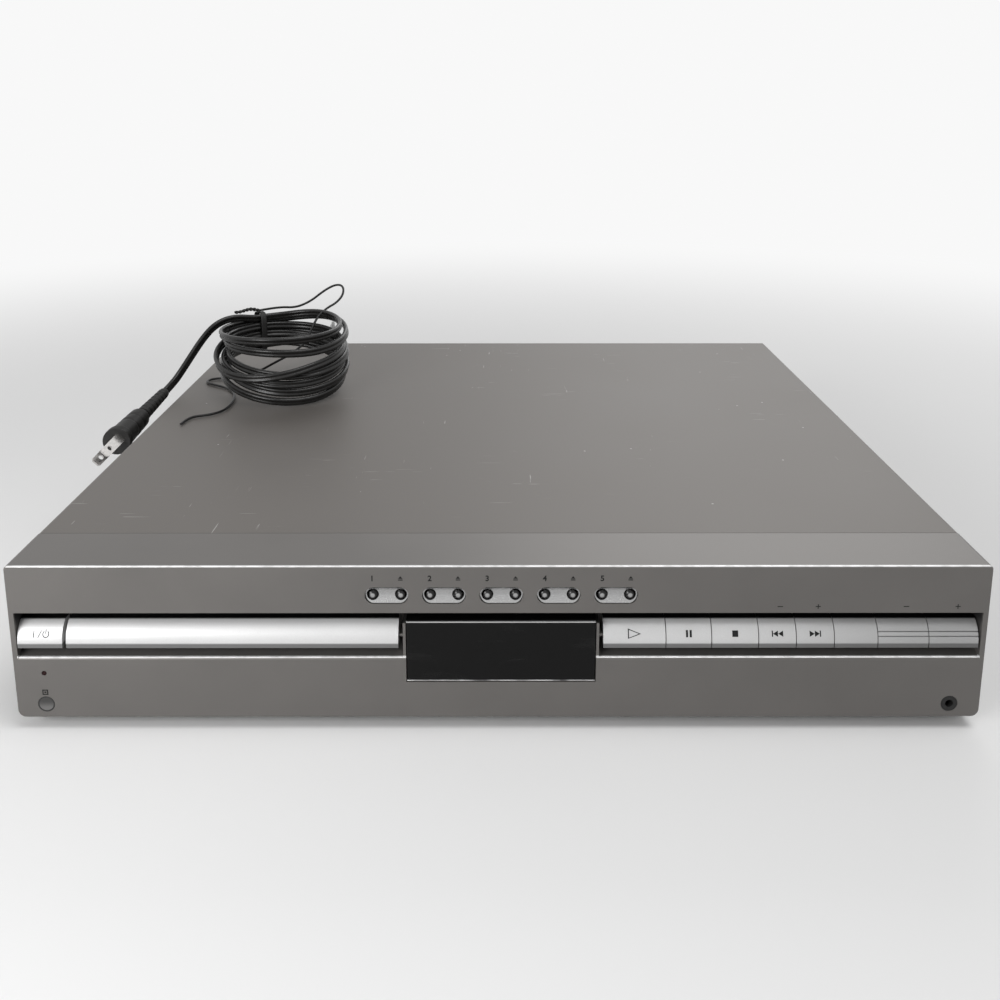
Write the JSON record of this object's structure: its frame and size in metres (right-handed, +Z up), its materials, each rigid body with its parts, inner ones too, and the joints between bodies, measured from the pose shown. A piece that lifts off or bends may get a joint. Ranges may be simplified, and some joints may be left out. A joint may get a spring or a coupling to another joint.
{
  "type": "home theater receiver",
  "caption": "Slim silver disc receiver with a long drawer bar, display window, row of buttons and a tied mains cord coiled on its top cover.",
  "frame": {"origin": "on the ground under the middle of the console, cord not counted", "axes": "+X to the right seen from the front, +Y to the back, +Z up; the front panel faces -Y"},
  "size_m": [0.4673, 0.4593, 0.1418],
  "materials": {
    "silver_plastic": "metallic silver paint",
    "smoked_window": "smoked gloss",
    "tube_glass": "display glass",
    "bright_trim": "bright plated",
    "board": "laminate",
    "black_plastic": "moulded",
    "red_lens": "clear tinted",
    "cover_paint": "metallic grey paint",
    "black_steel": "blackened",
    "zinc_steel": "zinc plated sheet",
    "grey_plastic": "moulded",
    "rubber_foot": "moulded",
    "jack_metal": "nickel plated",
    "ferrite": "sintered",
    "aluminium_sink": "extruded",
    "cord_jacket": "soft black jacket"
  },
  "bodies": {
    "casing": {"front_panel": "silver_plastic", "display_window": "smoked_window", "display_tube": "tube_glass", "disc_button_bezels": "bright_trim", "front_circuit_board": "board", "headphone_jack": "black_plastic", "remote_window": "smoked_window", "standby_lens": "red_lens", "top_cover": "cover_paint", "cover_screws": "black_steel", "chassis_pan": "zinc_steel", "feet": "rubber_foot", "rear_panel": "zinc_steel", "rear_jacks": "jack_metal", "speaker_sockets": "black_plastic", "aerial_terminals": "black_plastic", "main_board": "board", "power_board": "board", "transformer": "ferrite", "heatsink": "aluminium_sink", "fan_frame": "black_plastic", "mechanism_frame": "zinc_steel", "loading_motor": "zinc_steel", "strain_relief": "cord_jacket", "cord_lead": "cord_jacket", "cord_coil": "cord_jacket", "cord_tail": "cord_jacket", "plug_body": "cord_jacket", "plug_blades": "jack_metal", "cord_tie": "cord_jacket", "tie_wire": "cord_jacket"},
    "power_button": {"power_button": "silver_plastic"},
    "play_button": {"play_button": "silver_plastic"},
    "pause_button": {"pause_button": "silver_plastic"},
    "stop_button": {"stop_button": "silver_plastic"},
    "previous_button": {"previous_button": "silver_plastic"},
    "next_button": {"next_button": "silver_plastic"},
    "function_button": {"function_button": "silver_plastic"},
    "volume_down_button": {"volume_down_button": "silver_plastic"},
    "volume_up_button": {"volume_up_button": "silver_plastic"},
    "disc_1_button": {"disc_1_button": "bright_trim"},
    "eject_1_button": {"eject_1_button": "bright_trim"},
    "disc_2_button": {"disc_2_button": "bright_trim"},
    "eject_2_button": {"eject_2_button": "bright_trim"},
    "disc_3_button": {"disc_3_button": "bright_trim"},
    "eject_3_button": {"eject_3_button": "bright_trim"},
    "disc_4_button": {"disc_4_button": "bright_trim"},
    "eject_4_button": {"eject_4_button": "bright_trim"},
    "disc_5_button": {"disc_5_button": "bright_trim"},
    "eject_5_button": {"eject_5_button": "bright_trim"},
    "disc_drawer": {"disc_drawer": "silver_plastic"},
    "drawer_gear": {"drawer_gear": "grey_plastic"},
    "motor_gear": {"motor_gear": "grey_plastic"},
    "disc_stocker": {"disc_stocker": "grey_plastic"},
    "base_unit": {"base_unit": "grey_plastic", "guide_rods": "zinc_steel"},
    "turntable": {"turntable": "black_plastic"},
    "optical_pickup": {"optical_pickup": "black_plastic"},
    "clamp_puck": {"clamp_puck": "black_plastic"},
    "fan_rotor": {"fan_rotor": "black_plastic"}
  },
  "joints": [
    {"name": "power_press", "type": "slide", "parent": "casing", "child": "power_button", "axis": [0, 1, 0], "range_m": [0, 0.0012], "stiffness_N_per_m": 300},
    {"name": "play_press", "type": "slide", "parent": "casing", "child": "play_button", "axis": [0, 1, 0], "range_m": [0, 0.0012], "stiffness_N_per_m": 300},
    {"name": "pause_press", "type": "slide", "parent": "casing", "child": "pause_button", "axis": [0, 1, 0], "range_m": [0, 0.0012], "stiffness_N_per_m": 300},
    {"name": "stop_press", "type": "slide", "parent": "casing", "child": "stop_button", "axis": [0, 1, 0], "range_m": [0, 0.0012], "stiffness_N_per_m": 300},
    {"name": "previous_press", "type": "slide", "parent": "casing", "child": "previous_button", "axis": [0, 1, 0], "range_m": [0, 0.0012], "stiffness_N_per_m": 300},
    {"name": "next_press", "type": "slide", "parent": "casing", "child": "next_button", "axis": [0, 1, 0], "range_m": [0, 0.0012], "stiffness_N_per_m": 300},
    {"name": "function_press", "type": "slide", "parent": "casing", "child": "function_button", "axis": [0, 1, 0], "range_m": [0, 0.0012], "stiffness_N_per_m": 300},
    {"name": "volume_down_press", "type": "slide", "parent": "casing", "child": "volume_down_button", "axis": [0, 1, 0], "range_m": [0, 0.0012], "stiffness_N_per_m": 300},
    {"name": "volume_up_press", "type": "slide", "parent": "casing", "child": "volume_up_button", "axis": [0, 1, 0], "range_m": [0, 0.0012], "stiffness_N_per_m": 300},
    {"name": "disc_1_press", "type": "slide", "parent": "casing", "child": "disc_1_button", "axis": [0, 1, 0], "range_m": [0, 0.001], "stiffness_N_per_m": 300},
    {"name": "eject_1_press", "type": "slide", "parent": "casing", "child": "eject_1_button", "axis": [0, 1, 0], "range_m": [0, 0.001], "stiffness_N_per_m": 300},
    {"name": "disc_2_press", "type": "slide", "parent": "casing", "child": "disc_2_button", "axis": [0, 1, 0], "range_m": [0, 0.001], "stiffness_N_per_m": 300},
    {"name": "eject_2_press", "type": "slide", "parent": "casing", "child": "eject_2_button", "axis": [0, 1, 0], "range_m": [0, 0.001], "stiffness_N_per_m": 300},
    {"name": "disc_3_press", "type": "slide", "parent": "casing", "child": "disc_3_button", "axis": [0, 1, 0], "range_m": [0, 0.001], "stiffness_N_per_m": 300},
    {"name": "eject_3_press", "type": "slide", "parent": "casing", "child": "eject_3_button", "axis": [0, 1, 0], "range_m": [0, 0.001], "stiffness_N_per_m": 300},
    {"name": "disc_4_press", "type": "slide", "parent": "casing", "child": "disc_4_button", "axis": [0, 1, 0], "range_m": [0, 0.001], "stiffness_N_per_m": 300},
    {"name": "eject_4_press", "type": "slide", "parent": "casing", "child": "eject_4_button", "axis": [0, 1, 0], "range_m": [0, 0.001], "stiffness_N_per_m": 300},
    {"name": "disc_5_press", "type": "slide", "parent": "casing", "child": "disc_5_button", "axis": [0, 1, 0], "range_m": [0, 0.001], "stiffness_N_per_m": 300},
    {"name": "eject_5_press", "type": "slide", "parent": "casing", "child": "eject_5_button", "axis": [0, 1, 0], "range_m": [0, 0.001], "stiffness_N_per_m": 300},
    {"name": "drawer_slide", "type": "slide", "parent": "casing", "child": "disc_drawer", "axis": [0, -1, 0], "range_m": [0, 0.145]},
    {"name": "drawer_gear_spin", "type": "hinge", "parent": "casing", "child": "drawer_gear", "pos_m": [-0.0595, -0.157, 0.0417], "axis": [0, 0, 1], "range_deg": [-835, 0]},
    {"name": "motor_gear_spin", "type": "hinge", "parent": "casing", "child": "motor_gear", "pos_m": [-0.0745, -0.157, 0.0417], "axis": [0, 0, 1], "range_deg": [0, 1670]},
    {"name": "stocker_lift", "type": "slide", "parent": "casing", "child": "disc_stocker", "axis": [0, 0, 1], "range_m": [0, 0.024]},
    {"name": "base_unit_tilt", "type": "hinge", "parent": "casing", "child": "base_unit", "pos_m": [-0.1175, -0.0475, 0.0315], "axis": [-1, 0, 0], "range_deg": [0, 4]},
    {"name": "turntable_spin", "type": "hinge", "parent": "base_unit", "child": "turntable", "pos_m": [-0.1175, -0.122, 0.04], "axis": [0, 0, 1], "continuous": true},
    {"name": "pickup_slide", "type": "slide", "parent": "base_unit", "child": "optical_pickup", "axis": [0, 1, 0], "range_m": [0, 0.031]},
    {"name": "clamp_spin", "type": "hinge", "parent": "casing", "child": "clamp_puck", "pos_m": [-0.1175, -0.122, 0.056], "axis": [0, 0, 1], "continuous": true},
    {"name": "fan_spin", "type": "hinge", "parent": "casing", "child": "fan_rotor", "pos_m": [0.165, 0.186, 0.043], "axis": [0, 1, 0], "continuous": true}
  ],
  "couplings": [
    {"joint": "drawer_gear_spin", "follows": "drawer_slide", "rad_per_m": -100},
    {"joint": "motor_gear_spin", "follows": "drawer_slide", "rad_per_m": 200},
    {"joint": "clamp_spin", "follows": "turntable_spin", "ratio": 1}
  ]
}
